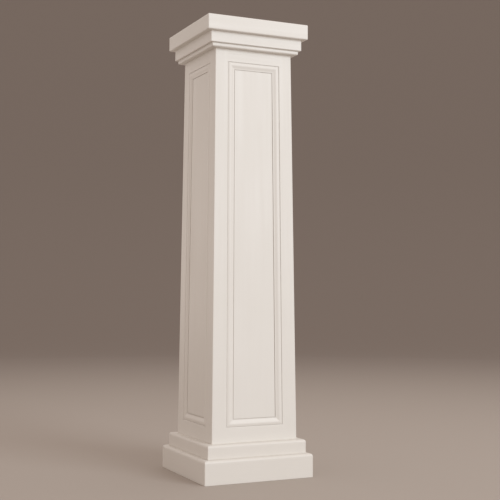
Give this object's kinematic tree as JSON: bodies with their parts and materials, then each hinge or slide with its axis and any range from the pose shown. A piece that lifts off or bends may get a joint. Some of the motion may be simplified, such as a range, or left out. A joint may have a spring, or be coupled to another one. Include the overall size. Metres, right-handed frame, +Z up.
{
  "type": "square tapered box column",
  "caption": "Tapered square box column of painted wood with a recessed, moulded panel on each side, a stepped base and a square cap.",
  "frame": {"origin": "centre of the column's underside, on its axis", "axes": "+Z up along the column's axis, -Y out of one panelled side, +X out of the side to its right"},
  "size_m": [0.3908, 0.3908, 1.524],
  "materials": {
    "painted_wood": "warm white satin paint over wood"
  },
  "bodies": {
    "root": {"band_board_1": "painted_wood", "band_board_2": "painted_wood", "band_board_3": "painted_wood", "band_board_4": "painted_wood", "base_board_1": "painted_wood", "base_board_2": "painted_wood", "base_board_3": "painted_wood", "base_board_4": "painted_wood", "bead_1": "painted_wood", "bead_2": "painted_wood", "bead_3": "painted_wood", "bead_4": "painted_wood", "bottom_rail_1": "painted_wood", "bottom_rail_2": "painted_wood", "bottom_rail_3": "painted_wood", "bottom_rail_4": "painted_wood", "moulding_bottom_1": "painted_wood", "moulding_bottom_2": "painted_wood", "moulding_bottom_3": "painted_wood", "moulding_bottom_4": "painted_wood", "moulding_left_1": "painted_wood", "moulding_left_2": "painted_wood", "moulding_left_3": "painted_wood", "moulding_left_4": "painted_wood", "moulding_right_1": "painted_wood", "moulding_right_2": "painted_wood", "moulding_right_3": "painted_wood", "moulding_right_4": "painted_wood", "moulding_top_1": "painted_wood", "moulding_top_2": "painted_wood", "moulding_top_3": "painted_wood", "moulding_top_4": "painted_wood", "panel_1": "painted_wood", "panel_2": "painted_wood", "panel_3": "painted_wood", "panel_4": "painted_wood", "plinth_board_1": "painted_wood", "plinth_board_2": "painted_wood", "plinth_board_3": "painted_wood", "plinth_board_4": "painted_wood", "stile_left_1": "painted_wood", "stile_left_2": "painted_wood", "stile_left_3": "painted_wood", "stile_left_4": "painted_wood", "stile_right_1": "painted_wood", "stile_right_2": "painted_wood", "stile_right_3": "painted_wood", "stile_right_4": "painted_wood", "top_board_1": "painted_wood", "top_board_2": "painted_wood", "top_board_3": "painted_wood", "top_board_4": "painted_wood", "top_rail_1": "painted_wood", "top_rail_2": "painted_wood", "top_rail_3": "painted_wood", "top_rail_4": "painted_wood"}
  },
  "joints": []
}
